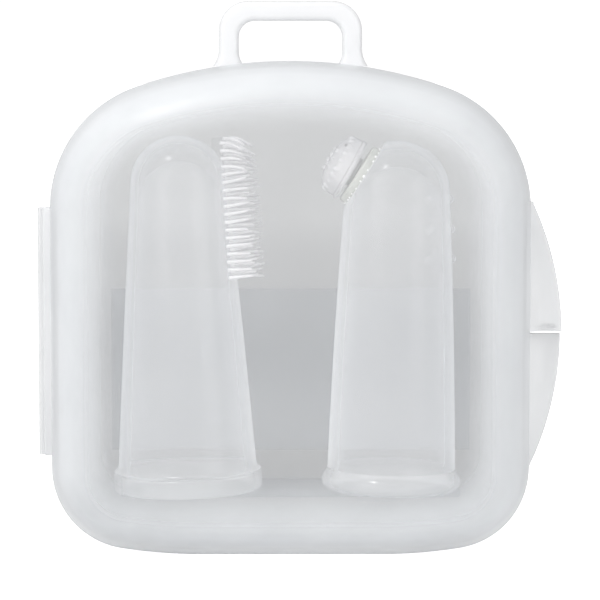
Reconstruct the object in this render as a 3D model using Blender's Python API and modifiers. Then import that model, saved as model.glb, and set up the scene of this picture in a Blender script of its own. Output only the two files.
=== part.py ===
"""Two silicone finger brushes, for first teeth and gums, in a hinged carrying case.

The case stands on its flat base with the middle of the base at the origin, and its lid faces -Y.
The lid turns on a living hinge down the left side (-X). A thumb tab on each half stands out on the
right. Each brush stands on a shelf inside, in a groove of the cradle behind it.
"""
from math import atan2, cos, degrees, pi, radians, sin, sqrt

import bmesh
import bpy
from mathutils import Matrix, Vector

MM = 0.001
GAP = 0.3 * MM              # left between pieces that touch

# The case's front outline: a crowned top, round corners, and a base that is flat in the middle.
HALF_WIDTH = 37.6 * MM
CASE_HEIGHT = 77.4 * MM
CROWN_RADIUS = 75 * MM
HIGH_CORNER_RADIUS = 20 * MM
LOW_CORNER_RADIUS = 13 * MM
BASE_SWEEP_RADIUS = 80 * MM
BASE_FLAT = 14 * MM         # half the length of the flat that the case stands on

# The case's two shells, which meet at y = 0.
HALF_DEPTH = 15 * MM
WALL = 1.2 * MM
FACE_FILLET = 9 * MM
LIP_REACH = 1.6 * MM        # how far the closing lip stands into the lid
LIP_THICKNESS = 0.9 * MM

# The living hinge: a leaf on each shell, and a thin web folded round the hinge's axis.
HINGE_X = -39.15 * MM
HINGE_LOW = 15.4 * MM
HINGE_HIGH = 54.5 * MM
LEAF_THICKNESS = 1.3 * MM
WEB_RADIUS = 0.6 * MM
WEB_THICKNESS = 0.3 * MM
LEAF_EDGE = 0.25 * MM       # width of the leaves' rounded edges

# The thumb tabs: two halves of one shallow arc, the upper on the lid and the lower on the back.
TAB_LOW = 13.4 * MM
TAB_HIGH = 55.6 * MM
TAB_REACH = 4.7 * MM
TAB_THICKNESS = 2.2 * MM
TAB_SPLIT = 34.8 * MM       # height of the gap between the two tabs
TAB_EDGE = 0.2 * MM

# The carrying handle: a flat loop on top of the back shell.
HANDLE_WIDTH = 22.5 * MM
HANDLE_HIGH = 86.8 * MM
HANDLE_BAND = 3.1 * MM
HANDLE_THICKNESS = 3.0 * MM
HANDLE_RADIUS = 4.7 * MM
HANDLE_Y = 3.2 * MM
HANDLE_EDGE = 0.5 * MM

# The shelf that the brushes stand on, and the cradle behind them.
SHELF_HIGH = 9.5 * MM
SHELF_THICKNESS = 1.2 * MM
SHELF_WIDTH = 54 * MM
SHELF_FRONT = 1.0 * MM
SHELF_EDGE = 0.3 * MM
CRADLE_LOW = 14.6 * MM
CRADLE_HIGH = 40.6 * MM
CRADLE_WIDTH = 58 * MM
CRADLE_FRONT = 10.6 * MM
CRADLE_EDGE = 0.6 * MM

# The brushes: a thimble each, from its rim at z = 0 up its own leaning axis.
BRUSH_Y = 0.6 * MM
SLEEVE_WALL = 1.3 * MM
TIP_EXTRA = 3.0 * MM        # how much thicker the tip is than the wall
TOOTHBRUSH = dict(x=-16.2 * MM, lean=-1.6, length=56.0 * MM, rim=11.7 * MM, foot=10.9 * MM,
                  middle=9.35 * MM, shoulder=7.6 * MM, bead=0.35 * MM)
MASSAGER = dict(x=15.9 * MM, lean=1.1, length=55.2 * MM, rim=11.0 * MM, foot=10.1 * MM,
                middle=9.35 * MM, shoulder=8.3 * MM, bead=1.3 * MM)
FOOT_HEIGHT = 4.2 * MM      # above this the thimble has its plain taper
RIM_STRAIGHT = 0.8          # how much of the rim's height its full width takes
MIDDLE_HEIGHT = 26 * MM

# The toothbrush's bristles: rows on a straight bar, which sits in a notch in the thimble.
BAR_LOW = 33.5 * MM
BAR_HIGH = 55.6 * MM
BAR_WIDTH = 6.0 * MM
BAR_THICKNESS = 1.2 * MM
BAR_DISTANCE = 8.1 * MM     # from the thimble's axis to the bar's inner face, at its middle
BAR_TURN = -24              # degrees from +X towards the lid
BAR_TILT = -2.4             # degrees that the bar leans in with the thimble's taper
BRISTLE_ROWS = 18
BRISTLES_IN_ROW = 5
BRISTLE_LENGTH = 3.7 * MM
BRISTLE_RADIUS = 0.4 * MM
BAR_END_MARGIN = 0.2 * MM   # from the outermost bristles to the bar's ends
BAR_SIDE_MARGIN = 0.3 * MM  # and to its sides

# The massager's head: a round pad on a slanted facet, a short neck, and a plate of blunt bristles.
FACET_HEIGHT = 49.4 * MM    # of the facet's middle, above the thimble's rim
FACET_SLANT = 32            # degrees that the facet's outward direction rises
FACET_DISTANCE = 5.5 * MM   # of the facet's middle from the thimble's axis
PAD_RADIUS = 5.0 * MM
PAD_THICKNESS = 0.9 * MM
NECK_RADIUS = 2.4 * MM
NECK_LENGTH = 0.7 * MM
TUFT_PLATE = 0.9 * MM
TUFT_RINGS = ((1, 0.0), (6, 2.0), (12, 4.0))      # bristles in each ring, and its radius in mm
TUFT_LENGTH = 3.9 * MM      # of the middle bristle, beyond the plate
TUFT_RADIUS = 0.7 * MM
TUFT_CROWN = 0.8 * MM       # how much shorter the outer ring's bristles are

# The massager's nubs: small domes up the thimble's outer side.
NUB_HEIGHTS = (36.8, 41.5, 46.2)                  # mm above the rim
NUB_TURNS = (-56, -6, 44)                         # degrees round the axis from +X
NUB_RADIUS = 0.7 * MM


def collection(name):
    """A new collection in the scene."""
    group = bpy.data.collections.new(name)
    bpy.context.scene.collection.children.link(group)
    return group


def material(name, colour, roughness, see_through=0.0):
    """A plastic or silicone finish."""
    finish = bpy.data.materials.new(name)
    finish.use_nodes = True
    shader = finish.node_tree.nodes["Principled BSDF"]
    shader.inputs["Base Color"].default_value = (*colour, 1)
    shader.inputs["Roughness"].default_value = roughness
    shader.inputs["Metallic"].default_value = 0
    shader.inputs["Alpha"].default_value = 1 - see_through
    return finish


def add(name, data, group, finish=None):
    """A new object in a collection, with its finish."""
    thing = bpy.data.objects.new(name, data)
    group.objects.link(thing)
    if finish:
        data.materials.append(finish)
    return thing


def add_mesh(name, shape, group, finish=None):
    """A new object from a bmesh, shaded smooth between its sharp edges."""
    mesh = bpy.data.meshes.new(name)
    bmesh.ops.recalc_face_normals(shape, faces=shape.faces)
    shape.to_mesh(mesh)
    shape.free()
    mesh.shade_smooth()
    mesh.set_sharp_from_angle(angle=radians(35))
    return add(name, mesh, group, finish)


def bevel(thing, width, segments=2):
    """Rounds an object's edges."""
    weld = thing.modifiers.new("weld", "WELD")
    weld.merge_threshold = 0.00001
    rounding = thing.modifiers.new("bevel", "BEVEL")
    rounding.width = width
    rounding.segments = segments
    rounding.limit_method = "ANGLE"


def combine(thing, other, operation):
    """Cuts an object with another, or joins them, and hides the other."""
    boolean = thing.modifiers.new(other.name, "BOOLEAN")
    boolean.operation = operation
    boolean.object = other
    other.hide_render = True
    other.display_type = "WIRE"


def arc(centre, radius, start, end, steps):
    """Points on a circle from one angle to another, in degrees."""
    angles = [radians(start + (end - start) * step / steps) for step in range(steps + 1)]
    return [(centre[0] + radius * cos(angle), centre[1] + radius * sin(angle)) for angle in angles]


def case_outline(inset=0.0):
    """The case's front outline, drawn in by an inset: points from the base's right end round."""
    low_x = HALF_WIDTH - LOW_CORNER_RADIUS
    low_z = BASE_SWEEP_RADIUS - sqrt((BASE_SWEEP_RADIUS - LOW_CORNER_RADIUS) ** 2
                                     - (low_x - BASE_FLAT) ** 2)
    sweep_end = degrees(atan2(low_z - BASE_SWEEP_RADIUS, low_x - BASE_FLAT))
    high_x = HALF_WIDTH - HIGH_CORNER_RADIUS
    crown_z = CASE_HEIGHT - CROWN_RADIUS
    high_z = crown_z + sqrt((CROWN_RADIUS - HIGH_CORNER_RADIUS) ** 2 - high_x ** 2)
    crown_start = degrees(atan2(high_z - crown_z, high_x))
    right = (arc((BASE_FLAT, BASE_SWEEP_RADIUS), BASE_SWEEP_RADIUS - inset, -90, sweep_end, 3)
             + arc((low_x, low_z), LOW_CORNER_RADIUS - inset, sweep_end, 0, 7)[1:]
             + arc((high_x, high_z), HIGH_CORNER_RADIUS - inset, 0, crown_start, 8)
             + arc((0, crown_z), CROWN_RADIUS - inset, crown_start, 90, 6)[1:])
    return right + [(-x, z) for x, z in reversed(right[:-1])]


def extruded(name, outlines, thickness, group, finish):
    """A flat outline, with any holes in it, given thickness along its own z, half each way."""
    curve = bpy.data.curves.new(name, "CURVE")
    curve.dimensions = "2D"
    curve.fill_mode = "BOTH"
    curve.extrude = thickness / 2
    for outline in outlines:
        spline = curve.splines.new("POLY")
        spline.points.add(len(outline) - 1)
        spline.use_cyclic_u = True
        for point, (across, up) in zip(spline.points, outline):
            point.co = (across, up, 0, 1)
    return add(name, curve, group, finish)


def flat_piece(name, outlines, near, far, group, finish):
    """An outline in x and z, with any holes in it, given thickness between two values of y."""
    piece = extruded(name, outlines, far - near, group, finish)
    piece.location.y = (near + far) / 2
    piece.rotation_euler.x = pi / 2
    return piece


def box(name, low, high, group, finish=None):
    """A box between two corners."""
    low, high = Vector(low), Vector(high)
    shape = bmesh.new()
    bmesh.ops.create_cube(shape, size=1, matrix=Matrix.Translation((low + high) / 2)
                          @ Matrix.Diagonal((*(high - low), 1)))
    return add_mesh(name, shape, group, finish)


def case_shell(name, side, group, finish):
    """One shell, open at y = 0: its face is at y = side * HALF_DEPTH, with a wide fillet round it."""
    shape = bmesh.new()
    rim = [shape.verts.new((x, side * GAP / 2, z)) for x, z in case_outline()]
    opening = shape.faces.new(rim)
    extruded = bmesh.ops.extrude_face_region(shape, geom=[opening])["geom"]
    face = next(item for item in extruded if isinstance(item, bmesh.types.BMFace))
    reach = Vector((0, side * (HALF_DEPTH - GAP / 2), 0))
    bmesh.ops.translate(shape, verts=face.verts, vec=reach)
    bmesh.ops.bevel(shape, geom=list(face.edges), offset=FACE_FILLET, segments=7, profile=0.5,
                    affect="EDGES")
    bmesh.ops.recalc_face_normals(shape, faces=shape.faces)
    seam = [face for face in shape.faces if all(abs(vert.co.y) < GAP for vert in face.verts)]
    bmesh.ops.delete(shape, geom=seam, context="FACES_ONLY")
    mesh = bpy.data.meshes.new(name)
    shape.to_mesh(mesh)
    shape.free()
    mesh.shade_smooth()
    shell = add(name, mesh, group, finish)
    solidify = shell.modifiers.new("wall", "SOLIDIFY")
    solidify.thickness = WALL
    solidify.offset = -1
    solidify.use_even_offset = True
    return shell


def closing_lip(group, finish):
    """A ring just inside both shells, fixed in the back one, that the lid slides over."""
    outer = case_outline(WALL + GAP)
    inner = case_outline(WALL + GAP + LIP_THICKNESS)
    return flat_piece("closing_lip", [outer, inner], -LIP_REACH, LIP_REACH, group, finish)


def hinge_leaf(name, side, group, finish):
    """The strip along a shell's left edge that carries the web."""
    near, far = sorted((side * GAP, side * (GAP + LEAF_THICKNESS)))
    leaf = box(name, (HINGE_X + GAP, near, HINGE_LOW), (-HALF_WIDTH - GAP, far, HINGE_HIGH),
               group, finish)
    bevel(leaf, LEAF_EDGE)
    return leaf


def living_hinge(group, finish):
    """The thin web, folded into half a tube round the hinge's axis."""
    outer = arc((HINGE_X, 0), WEB_RADIUS, 90, 270, 10)
    inner = arc((HINGE_X, 0), WEB_RADIUS - WEB_THICKNESS, 270, 90, 10)
    web = extruded("living_hinge", [outer + inner], HINGE_HIGH - HINGE_LOW, group, finish)
    web.location.z = (HINGE_LOW + HINGE_HIGH) / 2
    return web


def thumb_tab(name, low, high, side, group, finish):
    """One fin of the thumb grip: a slice of a shallow arc that stands out from the case's side."""
    root = HALF_WIDTH + GAP
    half_span = (TAB_HIGH - TAB_LOW) / 2
    middle = (TAB_HIGH + TAB_LOW) / 2
    radius = (half_span ** 2 + TAB_REACH ** 2) / (2 * TAB_REACH)
    centre = (root + TAB_REACH - radius, middle)

    def angle_at(z):
        return degrees(atan2(z - middle, sqrt(radius ** 2 - (z - middle) ** 2)))

    edge = arc(centre, radius, angle_at(low), angle_at(high), 10)
    outline = [(root, low)] + edge + [(root, high)]
    outline = [point for point in outline if point[0] > root - GAP / 2]
    near, far = sorted((side * GAP, side * (GAP + TAB_THICKNESS)))
    tab = flat_piece(name, [outline], near, far, group, finish)
    bevel(tab, TAB_EDGE)
    return tab


def carry_handle(group, finish):
    """A flat loop whose two legs stand just off the crown of the back shell."""
    foot = CASE_HEIGHT - GAP / 2
    half = HANDLE_WIDTH / 2

    def hoop(inset):
        radius = HANDLE_RADIUS - inset * 0.7
        turn_x = half - inset - radius
        turn_z = HANDLE_HIGH - inset - radius
        right = [(half - inset, foot)] + arc((turn_x, turn_z), radius, 0, 90, 6)
        return right + [(-x, z) for x, z in reversed(right)]

    outline = hoop(0) + list(reversed(hoop(HANDLE_BAND)))
    handle = flat_piece("carry_handle", [outline], HANDLE_Y - HANDLE_THICKNESS / 2,
                        HANDLE_Y + HANDLE_THICKNESS / 2, group, finish)
    bevel(handle, HANDLE_EDGE)
    return handle


def sleeve_radii(brush):
    """The thimble's outer profile, from the rim up to where its dome starts: (radius, height)."""
    bead_top = FOOT_HEIGHT - brush["bead"]
    return [(brush["rim"], 0),
            (brush["rim"], bead_top * RIM_STRAIGHT),
            (brush["foot"], FOOT_HEIGHT),
            (brush["middle"], MIDDLE_HEIGHT),
            (brush["shoulder"], brush["length"] - brush["shoulder"])]


def turned(name, profile, group, finish=None, steps=32):
    """A profile of (radius, height) points, top to bottom, turned round the z axis."""
    shape = bmesh.new()
    points = [shape.verts.new((radius, 0, height)) for radius, height in profile]
    for upper, lower in zip(points, points[1:]):
        shape.edges.new((upper, lower))
    mesh = bpy.data.meshes.new(name)
    shape.to_mesh(mesh)
    shape.free()
    piece = add(name, mesh, group, finish)
    screw = piece.modifiers.new("turn", "SCREW")
    screw.steps = steps
    screw.render_steps = steps
    screw.use_merge_vertices = True
    screw.merge_threshold = 0.00001
    return piece


def sleeve(name, brush, group, finish):
    """A thimble: round tip at the top, open rim at z = 0, and a wall that is thicker at the tip."""
    sides = list(reversed(sleeve_radii(brush)))
    dome = arc((0, brush["length"] - brush["shoulder"]), brush["shoulder"], 90, 0, 8)
    outside = [(max(radius, 0), height) for radius, height in dome[:-1]] + sides
    inner_radius = brush["shoulder"] - SLEEVE_WALL
    inner_dome = arc((0, brush["length"] - brush["shoulder"] - TIP_EXTRA), inner_radius, 0, 90, 7)
    inside = [(brush["foot"] - SLEEVE_WALL, 0),
              (brush["middle"] - SLEEVE_WALL, MIDDLE_HEIGHT)]
    inside += [(max(radius, 0), height) for radius, height in inner_dome]
    inside[-1] = (0, inside[-1][1])
    outside[0] = (0, outside[0][1])
    return turned(name, outside + inside, group, finish)


def brush_body(name, brush, group):
    """An empty at the middle of a brush's rim, leaning as the brush does."""
    origin = bpy.data.objects.new(name, None)
    origin.empty_display_size = 10 * MM
    origin.location = (brush["x"], BRUSH_Y, SHELF_HIGH + GAP)
    origin.rotation_euler.y = radians(brush["lean"])
    group.objects.link(origin)
    return origin


def pegs(shape, places, radius, tip_radius, length, sides=6):
    """Adds tapered pegs along local +X to a bmesh, each from a place in the local yz plane."""
    for y, z in places:
        turn = Matrix.Translation((length / 2, y, z)) @ Matrix.Rotation(pi / 2, 4, "Y")
        bmesh.ops.create_cone(shape, cap_ends=True, segments=sides, radius1=radius,
                              radius2=tip_radius, depth=length, matrix=turn)


def bar_frame(thickness_shift=0.0):
    """Where the toothbrush's bar is: local +X runs out along the bristles, from its inner face."""
    middle = (BAR_LOW + BAR_HIGH) / 2
    return (Matrix.Rotation(radians(BAR_TURN), 4, "Z")
            @ Matrix.Translation((BAR_DISTANCE + thickness_shift, 0, middle))
            @ Matrix.Rotation(radians(BAR_TILT), 4, "Y"))


def toothbrush_bristles(parent, group, cutters, finish):
    """The straight bar with its rows of bristles, joined into one body."""
    half_height = (BAR_HIGH - BAR_LOW) / 2
    bar = box("toothbrush_bristles", (0, -BAR_WIDTH / 2, -half_height),
              (BAR_THICKNESS, BAR_WIDTH / 2, half_height), group, finish)
    root = BAR_THICKNESS / 2
    high_z = half_height - BRISTLE_RADIUS - BAR_END_MARGIN
    high_y = BAR_WIDTH / 2 - BRISTLE_RADIUS - BAR_SIDE_MARGIN
    across = [high_y * (2 * column / (BRISTLES_IN_ROW - 1) - 1) for column in range(BRISTLES_IN_ROW)]
    up = [high_z * (2 * row / (BRISTLE_ROWS - 1) - 1) for row in range(BRISTLE_ROWS)]
    places = [(y, z) for z in up for y in across]
    shape = bmesh.new()
    pegs(shape, places, BRISTLE_RADIUS, BRISTLE_RADIUS * 0.6, BRISTLE_LENGTH + root, sides=5)
    bmesh.ops.translate(shape, verts=shape.verts, vec=(root, 0, 0))
    bristles = add_mesh("bristle_rows", shape, cutters)
    for piece in (bar, bristles):
        piece.parent = parent
        piece.matrix_local = bar_frame()
    combine(bar, bristles, "UNION")
    return bar


def bar_notch(parent, cutters):
    """The notch in the thimble that the bar sits in, a gap larger than the bar."""
    half_height = (BAR_HIGH - BAR_LOW) / 2 + GAP
    notch = box("bar_notch", (0, -BAR_WIDTH / 2 - GAP, -half_height),
                (HALF_DEPTH, BAR_WIDTH / 2 + GAP, half_height), cutters)
    notch.parent = parent
    notch.matrix_local = bar_frame(-GAP)
    return notch


def facet_frame(shift=0.0):
    """Where the massager's facet is: local +X points out of it, up and away from the thimble."""
    turn = Matrix.Rotation(pi, 4, "Z") @ Matrix.Rotation(-radians(FACET_SLANT), 4, "Y")
    middle = Matrix.Translation((-FACET_DISTANCE, 0, FACET_HEIGHT))
    return middle @ turn @ Matrix.Translation((shift, 0, 0))


def massager_pad(parent, group, finish):
    """The round pad that lies on the facet."""
    shape = bmesh.new()
    turn = Matrix.Translation((PAD_THICKNESS / 2, 0, 0)) @ Matrix.Rotation(pi / 2, 4, "Y")
    bmesh.ops.create_cone(shape, cap_ends=True, segments=28, radius1=PAD_RADIUS,
                          radius2=PAD_RADIUS, depth=PAD_THICKNESS, matrix=turn)
    pad = add_mesh("massager_pad", shape, group, finish)
    pad.parent = parent
    pad.matrix_local = facet_frame(GAP)
    return pad


def massager_head(parent, group, cutters, finish):
    """The plate on its neck, off the pad, with its short blunt bristles joined to it."""
    foot = GAP + PAD_THICKNESS + GAP
    profile = [(0, NECK_LENGTH + TUFT_PLATE), (PAD_RADIUS, NECK_LENGTH + TUFT_PLATE),
               (PAD_RADIUS, NECK_LENGTH), (NECK_RADIUS, NECK_LENGTH), (NECK_RADIUS, 0), (0, 0)]
    head = turned("massager_head", profile, group, finish, steps=28)
    root = NECK_LENGTH + TUFT_PLATE / 2
    shape = bmesh.new()
    outer_ring = TUFT_RINGS[-1][1]
    for count, ring_radius in TUFT_RINGS:
        turns = [2 * pi * item / count for item in range(count)]
        places = [(ring_radius * MM * cos(turn), ring_radius * MM * sin(turn)) for turn in turns]
        crown = TUFT_LENGTH - TUFT_CROWN * (ring_radius / outer_ring) ** 2
        pegs(shape, places, TUFT_RADIUS, TUFT_RADIUS * 0.8, crown + TUFT_PLATE / 2, sides=8)
    bmesh.ops.translate(shape, verts=shape.verts, vec=(root, 0, 0))
    tuft = add_mesh("massager_tuft", shape, cutters)
    tuft.parent = parent
    tuft.matrix_local = facet_frame(foot)
    head.parent = parent
    head.matrix_local = facet_frame(foot) @ Matrix.Rotation(pi / 2, 4, "Y")
    combine(head, tuft, "UNION")
    return head


def facet_cutter(parent, cutters):
    """The block that slices the facet off the thimble's tip."""
    reach = 10 * MM
    block = box("facet_cutter", (0, -reach, -reach), (reach, reach, reach), cutters)
    block.parent = parent
    block.matrix_local = facet_frame()
    return block


def massager_nubs(parent, cutters):
    """Rows of small domes round the massager's outer side, half sunk in it."""
    shape = bmesh.new()
    dome_start = MASSAGER["length"] - MASSAGER["shoulder"]
    for height in NUB_HEIGHTS:
        share = (height * MM - MIDDLE_HEIGHT) / (dome_start - MIDDLE_HEIGHT)
        radius = MASSAGER["middle"] + share * (MASSAGER["shoulder"] - MASSAGER["middle"])
        for turn in NUB_TURNS:
            place = Vector((radius * cos(radians(turn)), radius * sin(radians(turn)), height * MM))
            bmesh.ops.create_uvsphere(shape, u_segments=8, v_segments=5, radius=NUB_RADIUS,
                                      matrix=Matrix.Translation(place))
    nubs = add_mesh("nubs", shape, cutters)
    nubs.parent = parent
    return nubs


def brush_shelf(group, finish):
    """The shelf across the back shell that the brushes' rims stand on."""
    half = SHELF_WIDTH / 2
    shelf = box("brush_shelf", (-half, SHELF_FRONT, SHELF_HIGH - SHELF_THICKNESS),
                (half, HALF_DEPTH - WALL - GAP, SHELF_HIGH), group, finish)
    bevel(shelf, SHELF_EDGE)
    return shelf


def brush_cradle(group, cutters, finish):
    """The raised panel behind the brushes, with a groove for each."""
    half = CRADLE_WIDTH / 2
    cradle = box("brush_cradle", (-half, CRADLE_FRONT, CRADLE_LOW),
                 (half, HALF_DEPTH - WALL - GAP, CRADLE_HIGH), group, finish)
    bevel(cradle, CRADLE_EDGE)
    for name, brush in (("toothbrush_groove", TOOTHBRUSH), ("massager_groove", MASSAGER)):
        shape = bmesh.new()
        low_radius, high_radius = brush["foot"] + GAP, brush["shoulder"] + GAP
        depth = brush["length"] - brush["shoulder"] - FOOT_HEIGHT
        bmesh.ops.create_cone(shape, cap_ends=True, segments=40, radius1=low_radius,
                              radius2=high_radius, depth=depth,
                              matrix=Matrix.Translation((0, 0, FOOT_HEIGHT + depth / 2)))
        groove = add_mesh(name, shape, cutters)
        groove.location = (brush["x"], BRUSH_Y, SHELF_HIGH + GAP)
        groove.rotation_euler.y = radians(brush["lean"])
        combine(cradle, groove, "DIFFERENCE")
    return cradle


def build_case(group, cutters):
    """Both halves of the case, and what is fixed in them."""
    frosted = material("frosted_plastic", (0.82, 0.84, 0.85), 0.42, see_through=0.5)
    clear = material("pale_plastic", (0.90, 0.91, 0.92), 0.35, see_through=0.3)
    lid = bpy.data.objects.new("lid_axis", None)
    lid.location = (HINGE_X, 0, (HINGE_LOW + HINGE_HIGH) / 2)
    group.objects.link(lid)

    case_shell("rear_shell", 1, group, frosted)
    closing_lip(group, frosted)
    hinge_leaf("rear_hinge_leaf", 1, group, frosted)
    living_hinge(group, frosted)
    thumb_tab("rear_thumb_tab", TAB_LOW, TAB_SPLIT - GAP, 1, group, frosted)
    carry_handle(group, clear)
    brush_shelf(group, frosted)
    brush_cradle(group, cutters, frosted)

    front = case_shell("front_shell", -1, group, frosted)
    leaf = hinge_leaf("front_hinge_leaf", -1, group, frosted)
    tab = thumb_tab("front_thumb_tab", TAB_SPLIT + GAP, TAB_HIGH, -1, group, frosted)
    for piece in (front, leaf, tab):
        piece.parent = lid
        piece.matrix_parent_inverse = Matrix.Translation(lid.location).inverted()


def build_brushes(group, cutters):
    """Both finger brushes, each on its own leaning empty."""
    silicone = material("clear_silicone", (0.93, 0.94, 0.95), 0.18, see_through=0.6)
    bristle = material("bristle_silicone", (0.95, 0.95, 0.96), 0.25, see_through=0.3)

    body = brush_body("toothbrush_origin", TOOTHBRUSH, group)
    thimble = sleeve("toothbrush_sleeve", TOOTHBRUSH, group, silicone)
    thimble.parent = body
    combine(thimble, bar_notch(body, cutters), "DIFFERENCE")
    toothbrush_bristles(body, group, cutters, bristle)

    body = brush_body("massager_origin", MASSAGER, group)
    thimble = sleeve("massager_sleeve", MASSAGER, group, silicone)
    thimble.parent = body
    combine(thimble, massager_nubs(body, cutters), "UNION")
    combine(thimble, facet_cutter(body, cutters), "DIFFERENCE")
    massager_pad(body, group, bristle)
    massager_head(body, group, cutters, bristle)


def main():
    for thing in list(bpy.data.objects):
        bpy.data.objects.remove(thing)
    group = collection("finger_brush_set")
    cutters = collection("cutters")
    build_case(group, cutters)
    build_brushes(group, cutters)


main()
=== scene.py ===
"""Looks for the finger brush set: a frosted hinged case with two clear finger brushes in it.

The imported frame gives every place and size, in metres, +Z up, with the lid facing -Y. The pieces
here are finer versions of the frame's nodes: the same outline, radii and leans, with rounded edges,
bristles one by one, and the finishes of frosted polypropylene and clear silicone.
"""

from math import atan2, cos, degrees, pi, radians, sin, sqrt
from random import Random

import bmesh
import bpy
from mathutils import Matrix, Vector


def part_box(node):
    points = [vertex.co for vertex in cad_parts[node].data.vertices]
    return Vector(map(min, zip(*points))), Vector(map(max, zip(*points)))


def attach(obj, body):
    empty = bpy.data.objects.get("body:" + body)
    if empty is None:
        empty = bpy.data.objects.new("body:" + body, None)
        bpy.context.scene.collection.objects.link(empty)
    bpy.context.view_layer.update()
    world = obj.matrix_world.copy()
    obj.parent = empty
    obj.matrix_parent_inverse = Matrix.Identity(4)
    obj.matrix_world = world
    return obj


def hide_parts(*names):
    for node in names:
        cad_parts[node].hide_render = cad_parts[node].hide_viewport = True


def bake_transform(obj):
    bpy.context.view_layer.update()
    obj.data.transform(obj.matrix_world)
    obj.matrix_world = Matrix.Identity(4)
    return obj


MM = 0.001

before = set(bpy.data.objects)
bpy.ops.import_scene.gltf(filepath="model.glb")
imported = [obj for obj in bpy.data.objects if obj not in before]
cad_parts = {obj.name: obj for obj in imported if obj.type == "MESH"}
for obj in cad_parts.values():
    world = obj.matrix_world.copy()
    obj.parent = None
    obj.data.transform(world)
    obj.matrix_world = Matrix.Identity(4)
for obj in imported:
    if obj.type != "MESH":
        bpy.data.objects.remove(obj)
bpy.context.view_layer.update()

# The case, from the frame: its outline's half width and height, and where its shells meet.
LID_LOW, LID_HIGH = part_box("front_shell")
HALF_WIDTH = LID_HIGH.x
CASE_HEIGHT = LID_HIGH.z
HALF_DEPTH = -LID_LOW.y
SEAM = -LID_HIGH.y          # half the gap between the shells

# The case's outline, as the frame draws it.
CROWN_RADIUS = 75 * MM
HIGH_CORNER_RADIUS = 20 * MM
LOW_CORNER_RADIUS = 13 * MM
BASE_SWEEP_RADIUS = 80 * MM
BASE_FLAT = 14 * MM
WALL = 1.2 * MM

# The shells' section: a superellipse from the seam to a slightly crowned face.
FACE_INSET = 10.8 * MM
FACE_CROWN = 0.35 * MM
SECTION_POWER = 2.5
RIM_ROUND = 0.22 * MM

# The camera: level with the middle of the case and a little above it, with a long lens.
VIEW_WIDTH = 94.5 * MM      # what the view spans at the case's middle plane
VIEW_CENTRE = Vector((1.5 * MM, 0, 39.9 * MM))
CAMERA_DISTANCE = 420 * MM
CAMERA_PITCH = 5.0          # degrees below the horizon that the camera looks
SENSOR = 36.0

# The brushes, as the frame shapes them. Heights are above the rim, along the brush's own axis.
TOOTHBRUSH = dict(lean=-1.6, length=56.0 * MM, rim=11.7 * MM, foot=10.9 * MM,
                  middle=9.35 * MM, shoulder=7.6 * MM)
MASSAGER = dict(lean=1.1, length=55.2 * MM, rim=11.0 * MM, foot=10.1 * MM,
                middle=9.35 * MM, shoulder=8.3 * MM)
FOOT_HEIGHT = 4.2 * MM
RIM_HEIGHT = 3.3 * MM
MIDDLE_HEIGHT = 26 * MM
SLEEVE_WALL = 1.3 * MM
TIP_EXTRA = 3.0 * MM        # how much thicker the closed tip is than the wall

# The toothbrush's bristle bar and the massager's slanted facet.
BAR_LOW = 33.5 * MM
BAR_HIGH = 55.6 * MM
BAR_WIDTH = 6.0 * MM
BAR_THICKNESS = 1.2 * MM
BAR_DISTANCE = 8.1 * MM
BAR_TURN = -24
BAR_TILT = -2.4
FACET_HEIGHT = 49.4 * MM
FACET_SLANT = 32
FACET_DISTANCE = 5.5 * MM
PAD_RADIUS = 5.0 * MM
TUFT_TIP = 4                # degrees that the head stands more upright than the facet

# The massager's nubs: how high, and how far round from the side that faces the right.
NUB_RADIUS = 0.72 * MM
NUB_HEIGHTS = (36.8 * MM, 41.5 * MM, 46.2 * MM)
NUB_TURNS = (-56, -6, 44)
SIDE_TURN = -6              # this column stands out at the side, so it is as dense as the edge

# The floor, how the plastic lets the lamps' light through, and the painted shade of the
# surroundings seen through it.
FLOOR_REACH = 12
PAINTED_SHADE_BEHIND = 0.36               # painted shade: how bright the surround is painted where it is seen through the case
VEILING_FACES = 4.5         # how many faces of plastic it takes for the surround's painted shade to reach that grey
SHADOW_SHARE = 0.5          # how much of its alpha a thin wall keeps against the lamps' light

# The finishes that a thimble is made of, in the order that its mesh has them.
BORE, THICK_RIM = 1, 2

# Every finish's uneven gloss and slow ripple. A noise's scale is in features a metre.
GLOSS_SCALE = 420
RIPPLE_SCALE = 130
RIPPLE_DEPTH = 0.06 * MM


# ---------------------------------------------------------------- outlines and lofts

def line(start, end, steps):
    """Points from one point to another, both included."""
    return [tuple(a + (b - a) * step / steps for a, b in zip(start, end))
            for step in range(steps + 1)]


def arc(centre, radius, start, end, steps):
    """Points on a circle from one angle to another, in degrees."""
    angles = [radians(start + (end - start) * step / steps) for step in range(steps + 1)]
    return [(centre[0] + radius * cos(angle), centre[1] + radius * sin(angle)) for angle in angles]


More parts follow.
